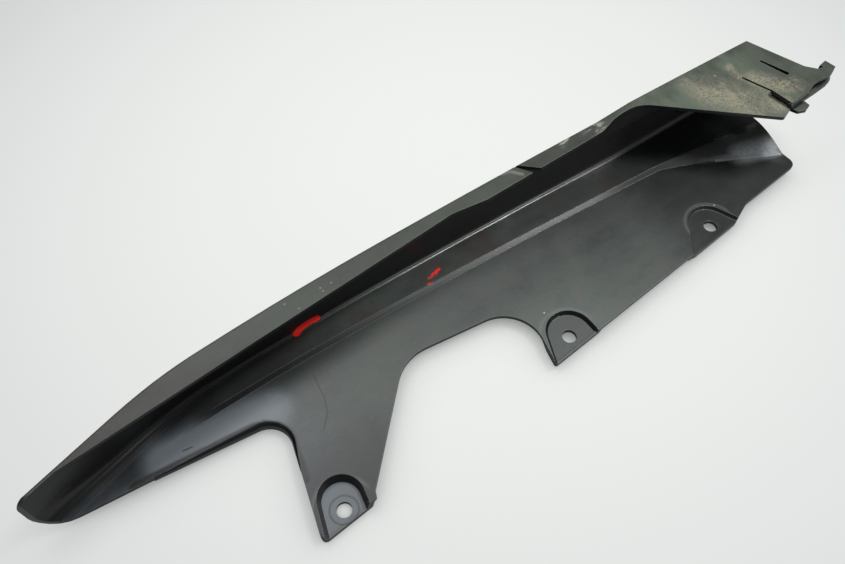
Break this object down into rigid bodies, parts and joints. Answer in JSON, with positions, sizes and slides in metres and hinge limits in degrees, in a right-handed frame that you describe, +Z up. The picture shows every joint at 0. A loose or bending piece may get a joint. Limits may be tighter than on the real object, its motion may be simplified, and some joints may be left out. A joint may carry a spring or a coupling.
{
  "type": "motorcycle chain guard",
  "caption": "Motorcycle chain guard: one moulded black plastic channel with drilled tabs, an inner flange that widens to a plate, and a spring clip at its end.",
  "frame": {"origin": "middle of the length and of the width, on the ground under the lowest mounting seat", "axes": "+X from the nose to the clip, +Y from the mounting tabs to the closed top wall, +Z up from the mounting seats to the flange"},
  "size_m": [0.5594, 0.1191, 0.061],
  "materials": {
    "moulding": "black moulded plastic with a dusty satin sheen, scratched, with dried mud on the end plate"
  },
  "bodies": {
    "root": {"chain_guard": "moulding"}
  },
  "joints": []
}
